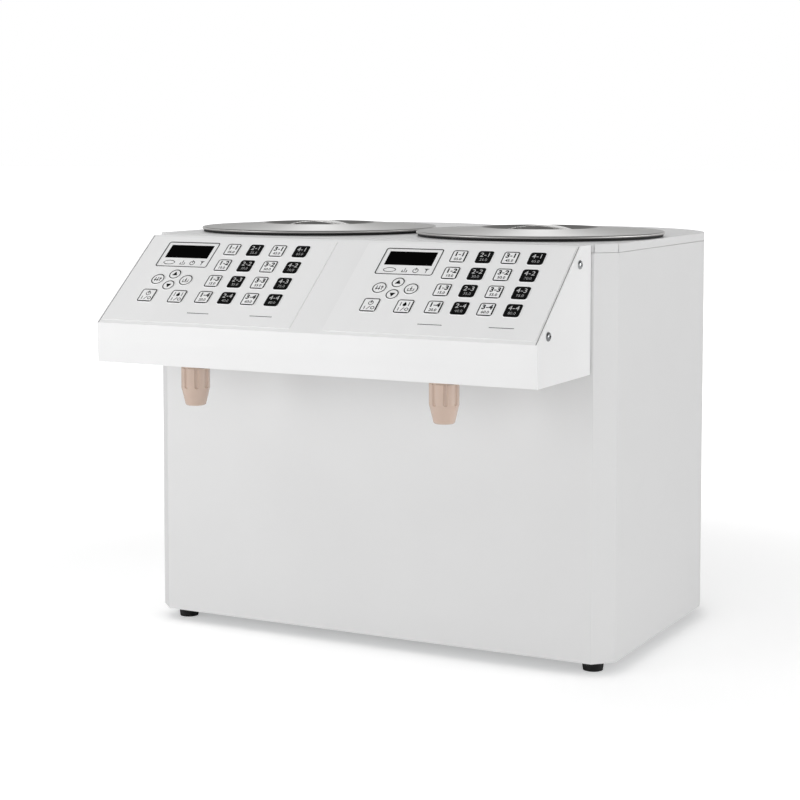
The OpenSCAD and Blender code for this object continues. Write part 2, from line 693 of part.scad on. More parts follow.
module rocker_frame() color("#202020") on_table() translate([0, web_y, rocker_z])
    rotate([90, 0, 180]) difference() {
    union() {
        linear_extrude(1.8) round_rect(24.5, 18, 1.5);
        translate([0, 0, -14]) linear_extrude(15) square([21, 14], center = true);
        for (x = [-7, 0, 7]) translate([x - 0.4, -2.4, -22]) cube([0.8, 4.8, 9]);
    }
    translate([0, 0, -9]) linear_extrude(20) square([17.4, 11.4], center = true);
    translate([0, 0, -1.5]) rotate([90, 0, 0]) cylinder(r = 1.25, h = 12.8, center = true);
}

// Rocker: two faces that dip towards the pivot pins, stored tilted to its off position
module power_rocker() color("firebrick") on_table() translate([0, web_y - 1.5, rocker_z])
    rotate([0, 0, rocker_tilt]) rotate([0, 0, 180]) {
        linear_extrude(10.8, center = true) polygon([[-8.1, -5.2], [0, -3.2], [8.1, -5.2], [8.1, -1.5],
            [4, 4.5], [-4, 4.5], [-8.1, -1.5]]);
        cylinder(r = 1.2, h = 12.6, center = true);
    }

// ---- Feet and fasteners ----

module rubber_feet() color("#181818") on_table()
    for (x = [-1, 1], y = [foot_front_y, foot_back_y]) translate([x * foot_x, y, -foot_h]) difference() {
        cylinder(r1 = 9, r2 = 10.5, h = foot_h);
        disc(2.2, 6, 20);
        disc(4.4, -1, 6);
    }

module foot_screws() color(steel) on_table()
    for (x = [-1, 1], y = [foot_front_y, foot_back_y]) translate([x * foot_x, y, 0]) {
        disc(4, 2.5 - foot_h, 6 - foot_h);
        disc(2, 5 - foot_h, 6);
        translate([0, 0, sheet]) ring(4, 2, 0, 3);
    }

module base_screws() color(steel) on_table() for (s = [-1, 1]) {
    for (x = [12, 32], y = [-20, 20])
        translate([s * (pump_x + pump_w / 2 + 0.2 + x), pump_y + y, sheet + 2.1]) cylinder(r = 3.5, h = 2.2);
}

front_shell();
rear_shell();
base_plate();
deck_cover();
head_cover();
head_pan();
head_bracket(-1);  // head_bracket_left
head_bracket(1);  // head_bracket_right
keypad_film(-1);  // keypad_film_left
keypad_film(1);  // keypad_film_right
display_window(-1);  // display_window_left
display_window(1);  // display_window_right
key_board(-1);  // key_board_left
key_board(1);  // key_board_right
bucket(-1);  // bucket_left
bucket(1);  // bucket_right
lid(-1);  // lid_left
lid(1);  // lid_right
lid_seal(-1);  // lid_seal_left
lid_seal(1);  // lid_seal_right
lid_handle(-1);  // lid_handle_left
lid_handle(1);  // lid_handle_right
outlet_elbow(-1);  // outlet_elbow_left
outlet_elbow(1);  // outlet_elbow_right
suction_hose(-1);  // suction_hose_left
suction_hose(1);  // suction_hose_right
pump_body(-1);  // pump_body_left
pump_body(1);  // pump_body_right
pump_cover(-1);  // pump_cover_left
pump_cover(1);  // pump_cover_right
drive_gear(-1);  // drive_gear_left
drive_gear(1);  // drive_gear_right
idler_gear(-1);  // idler_gear_left
idler_gear(1);  // idler_gear_right
pump_motor(-1);  // pump_motor_left
pump_motor(1);  // pump_motor_right
motor_bracket(-1);  // motor_bracket_left
motor_bracket(1);  // motor_bracket_right
delivery_hose(-1);  // delivery_hose_left
delivery_hose(1);  // delivery_hose_right
nozzle_socket(-1);  // nozzle_socket_left
nozzle_socket(1);  // nozzle_socket_right
socket_nut(-1);  // socket_nut_left
socket_nut(1);  // socket_nut_right
nozzle_washer(-1);  // nozzle_washer_left
nozzle_washer(1);  // nozzle_washer_right
nozzle(-1);  // nozzle_left
nozzle(1);  // nozzle_right
driver_board(-1);  // driver_board_left
driver_board(1);  // driver_board_right
power_supply();
mains_inlet();
rocker_frame();
power_rocker();
rubber_feet();
foot_screws();
cheek_screws();
base_screws();
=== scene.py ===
import math

import bmesh
import bpy
from bpy.props import FloatProperty, FloatVectorProperty, IntProperty, PointerProperty
from mathutils import Matrix, Vector


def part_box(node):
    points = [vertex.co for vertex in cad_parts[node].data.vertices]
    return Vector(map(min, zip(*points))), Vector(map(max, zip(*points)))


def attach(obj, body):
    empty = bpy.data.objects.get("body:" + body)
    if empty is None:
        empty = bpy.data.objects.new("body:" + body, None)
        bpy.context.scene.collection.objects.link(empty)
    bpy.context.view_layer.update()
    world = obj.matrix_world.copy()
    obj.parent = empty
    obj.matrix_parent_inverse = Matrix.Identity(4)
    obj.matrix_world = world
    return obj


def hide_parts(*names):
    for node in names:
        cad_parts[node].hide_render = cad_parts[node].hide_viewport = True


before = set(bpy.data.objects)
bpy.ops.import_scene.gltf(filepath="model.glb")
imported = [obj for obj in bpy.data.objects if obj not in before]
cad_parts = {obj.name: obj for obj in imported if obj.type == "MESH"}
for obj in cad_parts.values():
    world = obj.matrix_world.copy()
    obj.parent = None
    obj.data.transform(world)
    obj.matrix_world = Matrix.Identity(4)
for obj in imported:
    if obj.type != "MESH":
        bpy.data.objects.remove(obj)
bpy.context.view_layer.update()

bl_info = {
    "name": "Twin Fructose Dispenser",
    "version": (1, 0, 0),
    "blender": (4, 5, 0),
    "location": "View3D > Sidebar > Dispenser",
    "description": "Dresses the twin fructose dispenser: paint, keypads, spun lids, screws and a studio",
    "category": "Object",
}

MM = 0.001
SIDES = ("left", "right")


def linear(code):
    """An sRGB hex colour as the linear numbers that Blender works in."""
    parts = [int(code[i : i + 2], 16) / 255 for i in (0, 2, 4)]
    return tuple(p / 12.92 if p <= 0.04045 else ((p + 0.055) / 1.055) ** 2.4 for p in parts)


class DispenserSizes(bpy.types.PropertyGroup):
    """Where the printed and embossed things lie, in the film's own plane, and how big they are."""

    film_x: FloatProperty(
        name="Film centre", description="Distance from the centre line to the middle of a keypad film",
        default=0.1172, unit="LENGTH", subtype="DISTANCE")
    slope_foot: FloatVectorProperty(
        name="Foot of the slope", description="A point on the line where the keypad slope starts",
        size=3, default=(0.0, -0.2365, 0.305), unit="LENGTH", subtype="XYZ")
    slope_angle: FloatProperty(
        name="Slope angle", description="Tilt of the keypad slope from the level",
        default=math.atan2(76.8, 93.0), unit="ROTATION", subtype="ANGLE")
    film_thickness: FloatProperty(
        name="Film thickness", description="Height of the film's face above the painted slope",
        default=0.0006, unit="LENGTH", subtype="DISTANCE")
    key_rise: FloatProperty(
        name="Key rise", description="Height of an embossed key above the film's face",
        default=0.00055, unit="LENGTH", subtype="DISTANCE")
    key_width: FloatProperty(
        name="Key width", description="Width of a dose key",
        default=0.0148, unit="LENGTH", subtype="DISTANCE")
    key_height: FloatProperty(
        name="Key height", description="Height of a dose key",
        default=0.0156, unit="LENGTH", subtype="DISTANCE")
    key_pitch_x: FloatProperty(
        name="Column pitch", description="Distance between the columns of dose keys",
        default=0.0247, unit="LENGTH", subtype="DISTANCE")
    key_pitch_y: FloatProperty(
        name="Row pitch", description="Distance between the rows of dose keys",
        default=0.0214, unit="LENGTH", subtype="DISTANCE")
    outline: FloatProperty(
        name="Outline width", description="Width of the printed line round a key",
        default=0.001, unit="LENGTH", subtype="DISTANCE")
    dose_step: IntProperty(
        name="Dose step", description="Difference between the doses of two keys in a column", default=5)


class DispenserColours(bpy.types.PropertyGroup):
    """The finishes' colours, as linear numbers worked out from sRGB. The head's paint holds painted light."""

    paint: FloatVectorProperty(
        name="Cabinet paint", description="Powder coat of the cabinet", size=3, subtype="COLOR",
        default=linear("E3E3E3"))
    # The head is the same white paint as the cabinet; its lighter colour is painted light for the brighter
    # light on the head
    head_paint_painted_lighter: FloatVectorProperty(
        name="Head paint", description="Powder coat of the head, a little whiter", size=3, subtype="COLOR",
        default=linear("F3F3F3"))
    film: FloatVectorProperty(
        name="Keypad film", description="Printed polyester", size=3, subtype="COLOR",
        default=linear("F7F7F7"))
    # This ink also paints the shadow strips beside the raised keys
    ink: FloatVectorProperty(
        name="Dark ink", description="Screen ink of outlines and numerals", size=3, subtype="COLOR",
        default=linear("0E0E0E"))
    steel: FloatVectorProperty(
        name="Stainless steel", description="Lids and buckets", size=3, subtype="COLOR",
        default=linear("C9C8C6"))
    nozzle: FloatVectorProperty(
        name="Nozzle plastic", description="Cream acetal", size=3, subtype="COLOR",
        default=linear("CEB7A8"))


class DispenserStudio(bpy.types.PropertyGroup):
    """Where the camera stands, how it looks and how bright the room is."""

    place: FloatVectorProperty(
        name="Camera place", description="Where the camera stands", size=3,
        default=(0.8334, -1.6601, 0.4686), unit="LENGTH", subtype="XYZ")
    pitch: FloatProperty(
        name="Camera pitch", description="Angle that the camera looks down by",
        default=math.radians(4.372), unit="ROTATION", subtype="ANGLE")
    yaw: FloatProperty(
        name="Camera yaw", description="Angle that the camera is turned by, seen from above",
        default=math.radians(27.432), unit="ROTATION", subtype="ANGLE")
    lens: FloatProperty(
        name="Focal length", description="Lens in millimetres on a 36 mm sensor", default=85.58)
    shift: FloatProperty(
        name="Vertical shift", description="Lens shift as a share of the width", default=-0.1375)
    room: FloatProperty(
        name="Room light", description="Brightness of the even light from all round", default=0.4)


# ---- Small tools ----


def add_node(tree, kind, values=None, links=None, **settings):
    """Adds one shader node with its settings, its sockets' values and the links into it."""
    node = tree.nodes.new(kind)
    for name, value in settings.items():
        setattr(node, name, value)
    for socket, value in (values or {}).items():
        node.inputs[socket].default_value = value
    for socket, source in (links or {}).items():
        tree.links.new(source, node.inputs[socket])
    return node


def new_material(name, colour, roughness, **sockets):
    """A material with its even values on the shader's own sockets. Returns it with its tree and shader."""
    material = bpy.data.materials.new(name)
    material.use_nodes = True
    tree = material.node_tree
    shader = tree.nodes["Principled BSDF"]
    shader.inputs["Base Color"].default_value = (*colour, 1)
    shader.inputs["Roughness"].default_value = roughness
    for socket, value in sockets.items():
        shader.inputs[socket.replace("_", " ")].default_value = value
    return material, tree, shader


def grain(tree, scale, stretch=(1, 1, 1), detail=3.0):
    """Noise in object coordinates. The scale is how many grains go into a metre."""
    coords = add_node(tree, "ShaderNodeTexCoord")
    mapping = add_node(tree, "ShaderNodeMapping", {"Scale": stretch}, {"Vector": coords.outputs["Object"]})
    return add_node(tree, "ShaderNodeTexNoise", {"Scale": scale, "Detail": detail},
        {"Vector": mapping.outputs["Vector"]})


def tint(tree, shader, noise, low, high):
    """Lets the noise move the base colour between two colours, over the middle third of its range."""
    ramp = add_node(tree, "ShaderNodeValToRGB", links={"Fac": noise.outputs["Fac"]})
    for element, place, colour in zip(ramp.color_ramp.elements, (0.35, 0.65), (low, high)):
        element.position, element.color = place, (*colour, 1)
    tree.links.new(ramp.outputs["Color"], shader.inputs["Base Color"])


def relief(tree, shader, height, depth, strength):
    """Turns a noise into bumps of this depth in metres."""
    bump = add_node(tree, "ShaderNodeBump", {"Strength": strength, "Distance": depth},
        {"Height": height.outputs["Fac"]})
    tree.links.new(bump.outputs["Normal"], shader.inputs["Normal"])


def gloss(tree, shader, noise, low, high, socket="Fac"):
    """Lets the noise move the roughness between two values."""
    span = add_node(tree, "ShaderNodeMapRange", {"To Min": low, "To Max": high},
        {"Value": noise.outputs[socket]})
    tree.links.new(span.outputs["Result"], shader.inputs["Roughness"])


def shade(colour, factor):
    """The same colour, lighter or darker."""
    return tuple(min(1.0, c * factor) for c in colour)


def edit(picked=True):
    """Goes into edit mode on the active object, with all its faces picked or none."""
    bpy.ops.object.mode_set(mode="EDIT")
    bpy.ops.mesh.select_mode(type="FACE")
    bpy.ops.mesh.select_all(action="SELECT" if picked else "DESELECT")


def done():
    """Leaves edit mode and gives the object that was edited."""
    bpy.ops.object.mode_set(mode="OBJECT")
    return bpy.context.object


def pick(objects):
    """Selects just these objects and makes the first one active."""
    bpy.ops.object.select_all(action="DESELECT")
    for item in objects:
        item.select_set(True)
    bpy.context.view_layer.objects.active = objects[0]


def joined(objects, name):
    """Joins the objects into one and names it."""
    pick(objects)
    bpy.ops.object.join()
    whole = bpy.context.object
    whole.name = whole.data.name = name
    return whole


def settled(piece):
    """Puts the object's place, turn and scale into its mesh."""
    pick([piece])
    bpy.ops.object.transform_apply(location=True, rotation=True, scale=True)
    return piece


def modified(piece, kind, **settings):
    """Adds a modifier and applies it."""
    pick([piece])
    modifier = piece.modifiers.new(kind.title(), kind)
    for name, value in settings.items():
        setattr(modifier, name, value)
    bpy.ops.object.modifier_apply(modifier=modifier.name)
    return piece


def smooth(piece, degrees=35):
    """Smooth shading, with the corners sharper than this kept sharp."""
    pick([piece])
    bpy.ops.object.shade_smooth_by_angle(angle=math.radians(degrees))
    return piece


def copied(piece, name, matrix):
    """A copy with its own mesh, put in place by a matrix."""
    twin = piece.copy()
    twin.data = piece.data.copy()
    twin.name = twin.data.name = name
    bpy.context.collection.objects.link(twin)
    twin.data.transform(matrix)
    return twin


def dress(piece, material, body):
    """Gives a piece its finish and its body."""
    piece.data.materials.clear()
    piece.data.materials.append(material)
    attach(piece, body)


# ---- Finishes ----


def powder_coated_steel(name, colour):
    """Powder coat on sheet steel, baked: a soft gloss with a fine orange peel of about 1.5 mm."""
    material, tree, shader = new_material(name, colour, 0.42, IOR=1.5)
    relief(tree, shader, grain(tree, 650, detail=2), 0.00006, 0.35)
    tint(tree, shader, grain(tree, 6), shade(colour, 0.985), shade(colour, 1.01))
    return material


def printed_polyester(name, colour):
    """Velvet polyester film: a low gloss with a fine matte tooth and faint drawing streaks up the slope."""
    material, tree, shader = new_material(name, colour, 0.33, IOR=1.6)
    tint(tree, shader, grain(tree, 30, (1, 0.08, 0.08)), shade(colour, 0.985), shade(colour, 1.012))
    relief(tree, shader, grain(tree, 2600, detail=1), 0.00002, 0.25)
    return material


def screen_ink(name, colour):
    """Screen-printed ink behind the film: even and a little matte, with a slight mottle."""
    material, tree, shader = new_material(name, colour, 0.55, IOR=1.5, Specular_IOR_Level=0.06)
    tint(tree, shader, grain(tree, 900), shade(colour, 0.85), shade(colour, 1.15))
    return material


def smoked_acrylic(name):
    """Cast smoked acrylic with a coat against glare: deep black, with a few faint smears."""
    material, tree, shader = new_material(name, linear("020202"), 0.06, IOR=1.49, Specular_IOR_Level=0.03)
    gloss(tree, shader, grain(tree, 80), 0.05, 0.12)
    return material


def spun_stainless(name, colour, centre):
    """Stainless steel spun on a lathe: fine rings round the lid's axis that draw the light into wedges."""
    material, tree, shader = new_material(name, colour, 0.34, Metallic=1.0, Anisotropic=0.8)
    coords = add_node(tree, "ShaderNodeTexCoord")
    mapping = add_node(tree, "ShaderNodeMapping", {"Location": (-centre.x, -centre.y, 0),
        "Scale": (1, 1, 0)}, {"Vector": coords.outputs["Object"]})
    radius = add_node(tree, "ShaderNodeVectorMath", links={0: mapping.outputs["Vector"]}, operation="LENGTH")
    # Turning marks about 0.7 mm apart
    rings = add_node(tree, "ShaderNodeTexNoise", {"Scale": 1400.0, "Detail": 4.0},
        {"W": radius.outputs["Value"]}, noise_dimensions="1D")
    gloss(tree, shader, rings, 0.26, 0.42)
    relief(tree, shader, rings, 0.00001, 0.25)
    tangent = add_node(tree, "ShaderNodeTangent", direction_type="RADIAL", axis="Z")
    tree.links.new(tangent.outputs["Tangent"], shader.inputs["Tangent"])
    return material


def brushed_stainless(name, colour, stretch):
    """Rolled stainless strip, brushed along its length: fine straight lines."""
    material, tree, shader = new_material(name, colour, 0.28, Metallic=1.0, Anisotropic=0.5)
    lines = grain(tree, 1500, stretch, detail=2)
    gloss(tree, shader, lines, 0.2, 0.36)
    relief(tree, shader, lines, 0.00001, 0.2)
    return material


def drawn_stainless(name, colour):
    """Deep-drawn stainless bucket: satin, with draw marks that run up the wall."""
    material, tree, shader = new_material(name, colour, 0.32, Metallic=1.0)
    gloss(tree, shader, grain(tree, 260, (1, 1, 0.04)), 0.24, 0.4)
    return material


def galvanised_sheet(name):
    """Hot-dip galvanised sheet: grey zinc with crystal spangles about 8 mm across."""
    material, tree, shader = new_material(name, linear("B4B8BA"), 0.45, Metallic=0.85)
    coords = add_node(tree, "ShaderNodeTexCoord")
    spangle = add_node(tree, "ShaderNodeTexVoronoi", {"Scale": 120.0}, {"Vector": coords.outputs["Object"]})
    gloss(tree, shader, spangle, 0.35, 0.6, "Distance")
    ramp = add_node(tree, "ShaderNodeValToRGB", links={"Fac": spangle.outputs["Color"]})
    ramp.color_ramp.elements[0].color = (*linear("A3A8AB"), 1)
    ramp.color_ramp.elements[1].color = (*linear("C3C7C9"), 1)
    tree.links.new(ramp.outputs["Color"], shader.inputs["Base Color"])
    return material


def turned_metal(name, low, high, roughness):
    """Turned bar stock: bright, with fine tool marks a third of a millimetre apart."""
    material, tree, shader = new_material(name, high, roughness, Metallic=1.0)
    tint(tree, shader, grain(tree, 90), low, high)
    gloss(tree, shader, grain(tree, 1600, detail=2), roughness - 0.06, roughness + 0.1)
    return material


def moulded_plastic(name, colour, roughness, subsurface=0.0):
    """Injection-moulded plastic: a fine spark-eroded tooth and a soft sheen."""
    material, tree, shader = new_material(name, colour, roughness, IOR=1.48, Subsurface_Weight=subsurface,
        Subsurface_Radius=(0.004, 0.003, 0.002), Subsurface_Scale=1.0, Coat_Weight=0.4, Coat_Roughness=0.15)
    relief(tree, shader, grain(tree, 2200, detail=2), 0.00003, 0.3)
    tint(tree, shader, grain(tree, 40), shade(colour, 0.97), shade(colour, 1.02))
    return material


def silicone_tube(name):
    """Extruded food silicone: milky and slightly see-through, with a soft gloss."""
    material, tree, shader = new_material(name, linear("E9EAE6"), 0.38, IOR=1.41, Subsurface_Weight=0.5,
        Subsurface_Radius=(0.006, 0.006, 0.005), Subsurface_Scale=1.0)
    tint(tree, shader, grain(tree, 60), linear("E2E3DE"), linear("EEEFEB"))
    return material


def nitrile_rubber(name, colour):
    """Moulded rubber: matte black with a faint bloom."""
    material, tree, shader = new_material(name, colour, 0.72, IOR=1.52)
    tint(tree, shader, grain(tree, 160), shade(colour, 0.8), shade(colour, 1.5))
    relief(tree, shader, grain(tree, 1500), 0.00004, 0.3)
    return material


def circuit_laminate(name):
    """Glass-epoxy board under green solder mask: glossy, with copper tracks that show as paler lines."""
    material, tree, shader = new_material(name, linear("155236"), 0.25, IOR=1.55)
    coords = add_node(tree, "ShaderNodeTexCoord")
    tracks = add_node(tree, "ShaderNodeTexBrick", {"Scale": 160.0, "Mortar Size": 0.04,
        "Color1": (*linear("14492F"), 1), "Color2": (*linear("175237"), 1), "Mortar": (*linear("2E7C50"), 1)},
        {"Vector": coords.outputs["Object"]})
    tree.links.new(tracks.outputs["Color"], shader.inputs["Base Color"])
    return material


class DISPENSER_OT_finishes(bpy.types.Operator):
    """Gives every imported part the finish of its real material"""

    bl_idname = "dispenser.finishes"
    bl_label = "Finish the Packed Parts"

    def execute(self, context):
        colours = context.scene.dispenser_colours
        steel = tuple(colours.steel)
        coat = powder_coated_steel("white_powder_coat", tuple(colours.paint))
        # Painted light: the head's coat is the cabinet's white made lighter
        head_coat_painted_lighter = powder_coated_steel("head_powder_coat_painted_lighter", tuple(colours.head_paint_painted_lighter))
        zinc = galvanised_sheet("galvanised_steel")
        brass = turned_metal("turned_brass", linear("B08D4A"), linear("CDAF6B"), 0.28)
        bright = turned_metal("turned_steel", linear("A9ABAD"), linear("CDCECF"), 0.25)
        hose = silicone_tube("milky_silicone")
        board = circuit_laminate("circuit_laminate")
        cream = moulded_plastic("cream_acetal", tuple(colours.nozzle), 0.24, 0.05)
        black = moulded_plastic("black_nylon", linear("1C1C1D"), 0.45)
        plans = {
            coat: ["front_shell", "rear_shell", "deck_cover"],
            head_coat_painted_lighter: ["head_cover", "head_pan"],
            zinc: ["base_plate", "head_bracket", "motor_bracket"],
            brass: ["outlet_elbow", "pump_body", "pump_cover"],
            bright: ["drive_gear", "idler_gear", "foot_screws", "base_screws"],
            hose: ["suction_hose", "delivery_hose"],
            board: ["key_board", "driver_board"],
            cream: ["nozzle_socket", "socket_nut", "nozzle"],
            black: ["mains_inlet", "rocker_frame"],
            printed_polyester("keypad_film", tuple(colours.film)): ["keypad_film"],
            smoked_acrylic("smoked_acrylic"): ["display_window"],
            drawn_stainless("drawn_stainless", steel): ["bucket"],
            moulded_plastic("red_polycarbonate", linear("A3201C"), 0.22): ["power_rocker"],
            nitrile_rubber("nitrile_rubber", linear("0A0A0A")): ["nozzle_washer", "lid_seal", "rubber_feet"],
            turned_metal("painted_motor_can", linear("3A3C3F"), linear("4B4E52"), 0.42): ["pump_motor"],
            turned_metal("aluminium_case", linear("A5A9AC"), linear("B9BCBF"), 0.4): ["power_supply"],
        }
        for side in SIDES:
            low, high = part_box("lid_" + side)
            plans[spun_stainless("spun_lid_" + side, steel, (low + high) / 2)] = ["lid_" + side]
        for material, names in plans.items():
            for name in names:
                for node in [name] + [name + "_" + side for side in SIDES]:
                    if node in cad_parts:
                        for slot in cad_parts[node].material_slots:
                            slot.material = material
        return {"FINISHED"}


# ---- Keypads ----


def plate(x, y, width, height, corner, z=0.0):
    """A flat plate with round corners, modelled from a plane."""
    bpy.ops.object.select_all(action="DESELECT")
    bpy.ops.mesh.primitive_plane_add(size=1, location=(x, y, z))
    bpy.context.object.scale = (width, height, 1)
    bpy.ops.object.transform_apply(location=True, rotation=False, scale=True)
    edit()
    bpy.ops.mesh.bevel(offset=corner, segments=5, affect="VERTICES")
    return done()


def roundel(x, y, radius, z=0.0, corners=48, turn=0.0):
    """A flat disc, or a triangle when it has three corners."""
    bpy.ops.object.select_all(action="DESELECT")
    bpy.ops.mesh.primitive_circle_add(vertices=corners, radius=radius, fill_type="NGON", location=(x, y, z),
        rotation=(0, 0, turn))
    bpy.ops.object.transform_apply(location=True, rotation=True, scale=True)
    return bpy.context.object


def outlined(flat, line):
    """Leaves only a line round a flat shape."""
    pick([flat])
    edit()
    bpy.ops.mesh.inset(thickness=line, depth=0)
    bpy.ops.mesh.delete(type="FACE")
    return done()


def numerals(words, x, y, size, weight, z):
    """Printed numerals, centred on a point."""
    bpy.ops.object.select_all(action="DESELECT")
    bpy.ops.object.text_add(location=(x, y, z))
    text = bpy.context.object
    text.data.body = words
    text.data.align_x, text.data.align_y = "CENTER", "CENTER"
    text.data.size = size
    text.data.offset = weight
    text.data.resolution_u = 4
    bpy.ops.object.convert(target="MESH")
    bpy.ops.object.transform_apply(location=True, rotation=True, scale=True)
    return bpy.context.object


def bar(x0, y0, x1, y1, width, z):
    """A straight printed line from one point to another."""
    length = math.hypot(x1 - x0, y1 - y0)
    bpy.ops.object.select_all(action="DESELECT")
    bpy.ops.mesh.primitive_plane_add(size=1, location=((x0 + x1) / 2, (y0 + y1) / 2, z),
        rotation=(0, 0, math.atan2(y1 - y0, x1 - x0)))
    bpy.context.object.scale = (length + width, width, 1)
    bpy.ops.object.transform_apply(location=True, rotation=True, scale=True)
    return bpy.context.object


def pillow(flat, rise):
    """Raises a flat shape into an embossed key with a soft edge."""
    pick([flat])
    edit()
    bpy.ops.mesh.extrude_region_move(TRANSFORM_OT_translate={"value": (0, 0, rise)})
    bpy.ops.mesh.bevel(offset=rise * 0.6, segments=3, affect="EDGES")
    bpy.ops.mesh.select_all(action="SELECT")
    bpy.ops.mesh.normals_make_consistent(inside=False)
    return done()


# Centres and sizes on the film, in metres from the middle of the slope's foot
DOSE_PLACE = (-0.0050, 0.0378)
FRAME_PLACE, FRAME_SIZE = (-0.0507, 0.0938), (0.0572, 0.0342)
ARROW_PLACE, ARROW_STEP, ARROW_RADIUS = (-0.0508, 0.0591), 0.0074, 0.00605
ROUND_STEP, ROUND_RADIUS = 0.0156, 0.0067
MENU_PLACE, MENU_STEP, MENU_SIZE = (-0.0502, 0.0372), 0.0166, (0.0161, 0.0166)
LAMP_ROW, LAMP_PLACES = 0.0829, (-0.0662, -0.0510, -0.0403, -0.0298)
RULE_ROW, RULE_ENDS = 0.0171, ((-0.0124, 0.0099), (0.0543, 0.0766))

# Corner radii of a key's outline, of the display's frame and of an embossed key
KEY_CORNER, FRAME_CORNER, PILLOW_CORNER = 0.0025, 0.0024, 0.0028
# How much wider an embossed key is than its outline
PILLOW_MARGIN = 0.0009
# Height of each print above the face that it lies on. The display's frame lies on a raised border
INK_LIFT, RULE_LIFT, LIGHT_INK_LIFT, FRAME_LIFT = 0.00002, 0.00004, 0.00005, 0.00027
# Width of the lines of the rings, rules and dashes
THIN_LINE = 0.0007

# Straight lines of the signs: both ends and the width, in millimetres from the sign's middle
SLIDER_LINES = ((-2.6, -2.2, -2.6, 2.2, 0.7), (-3.2, -1.0, -2.0, -1.0, 1.12), (0, -2.2, 0, 2.2, 0.7),
    (-0.6, -1.0, 0.6, -1.0, 1.12), (2.6, -2.2, 2.6, 2.2, 0.7), (2.0, 1.0, 3.2, 1.0, 1.12))
STORE_LINES = ((0, 2.6, 0, 0, 0.7), (-2.8, 0.2, -2.8, -2.4, 0.7), (2.8, 0.2, 2.8, -2.4, 0.7),
    (-2.8, -2.4, 2.8, -2.4, 0.7))
POWER_LINES = ((0, 2.8, 0, 5.6, 0.91),)
RUN_LINES = ((-4.0, 0.8, -4.0, 5.0, 0.7), (4.0, 0.8, 4.0, 5.0, 0.7))
ON_OFF_LINES = ((-4.2, -5.0, -4.2, -1.8, 0.7), (-1.4, -5.2, 0.8, -1.6, 0.7))
TRAY_LINES = ((-2.4, -2.2, 2.4, -2.2, 0.7), (-2.4, -2.2, -2.1, 0, 0.7), (2.4, -2.2, 2.1, 0, 0.7),
    (0, -0.6, 0, 2.4, 0.7))
RUNNING_LINES = ((0, 0.4, 0, 3.0, 0.84),)
FUNNEL_LINES = ((-1.8, 2.2, 1.8, 2.2, 0.7), (0, -2.4, 0, 0.6, 0.7))


def menu_places():
    """Centres of the two square keys at the bottom left."""
    return [(MENU_PLACE[0] + step * MENU_STEP, MENU_PLACE[1]) for step in (-1, 1)]


def round_places():
    """Centre and radius of each round key."""
    x, y = ARROW_PLACE
    return [(x, y + step * ARROW_STEP, ARROW_RADIUS) for step in (-1, 1)] + [
        (x + step * ROUND_STEP, y, ROUND_RADIUS) for step in (-1, 1)]


def dose_places(sizes):
    """Centre, column and row number of every dose key, from the top left one down."""
    for column in range(4):
        for row in range(4):
            x = DOSE_PLACE[0] + column * sizes.key_pitch_x
            yield x, DOSE_PLACE[1] + (3 - row) * sizes.key_pitch_y, column, row


def key_pillows(sizes):
    """All the embossed keys of one film in one mesh."""
    squares = [(x, y, sizes.key_width, sizes.key_height) for x, y, _, _ in dose_places(sizes)]
    squares += [(x, y, *MENU_SIZE) for x, y in menu_places()]
    keys = [plate(x, y, width + PILLOW_MARGIN, height + PILLOW_MARGIN, PILLOW_CORNER)
        for x, y, width, height in squares]
    keys += [roundel(x, y, radius + PILLOW_MARGIN / 2) for x, y, radius in round_places()]
    return smooth(joined([pillow(key, sizes.key_rise) for key in keys], "key_pillows"), 50)


def framed_with_painted_shadow(sizes, x, y, width, height, z):
    """A printed outline, with painted shadow of the raised key as heavier strips on the right and at the
    bottom.
    """
    line = sizes.outline
    # The strips on the right and at the bottom are painted shadow of the raised key, this wide
    weight = line * 0.4
    side, foot = x + width / 2 - line - weight / 2, y - height / 2 + line + weight / 2
    across, up = width / 2 - 2.4 * MM, height / 2 - 2.4 * MM
    return [
        outlined(plate(x, y, width, height, KEY_CORNER, z), line),
        bar(side, y - up, side, y + up, weight, z),
        bar(x - across, foot, x + across, foot, weight, z),
    ]


def key_words(sizes, x, y, column, row, z, weight):
    """A dose key's number, in two figures with a short dash, and its dose below it."""
    dose = sizes.dose_step * (column * 4 + row + 1)
    words = [numerals(str(n + 1), x + step * 3.3 * MM, y + 2.7 * MM, 7.4 * MM, weight, z)
        for n, step in ((column, -1), (row, 1))]
    words.append(bar(x - 0.6 * MM, y + 2.4 * MM, x + 0.6 * MM, y + 2.4 * MM, THIN_LINE + weight, z))
    words.append(numerals(f"{dose:04.1f}", x, y - 3.4 * MM, 4.3 * MM, weight * 0.6 - 0.08 * MM, z))
    return words


def strokes(x, y, lines, z):
    """The straight lines of a sign, round its middle."""
    return [bar(x + x0 * MM, y + y0 * MM, x + x1 * MM, y + y1 * MM, width * MM, z)
        for x0, y0, x1, y1, width in lines]


def ring(x, y, radius, z):
    """A thin printed ring."""
    return outlined(roundel(x, y, radius, z), THIN_LINE)


def triangle(x, y, radius, z, down=False):
    """A filled triangle that points up or down."""
    return roundel(x, y, radius, z, 3, math.pi if down else 0)


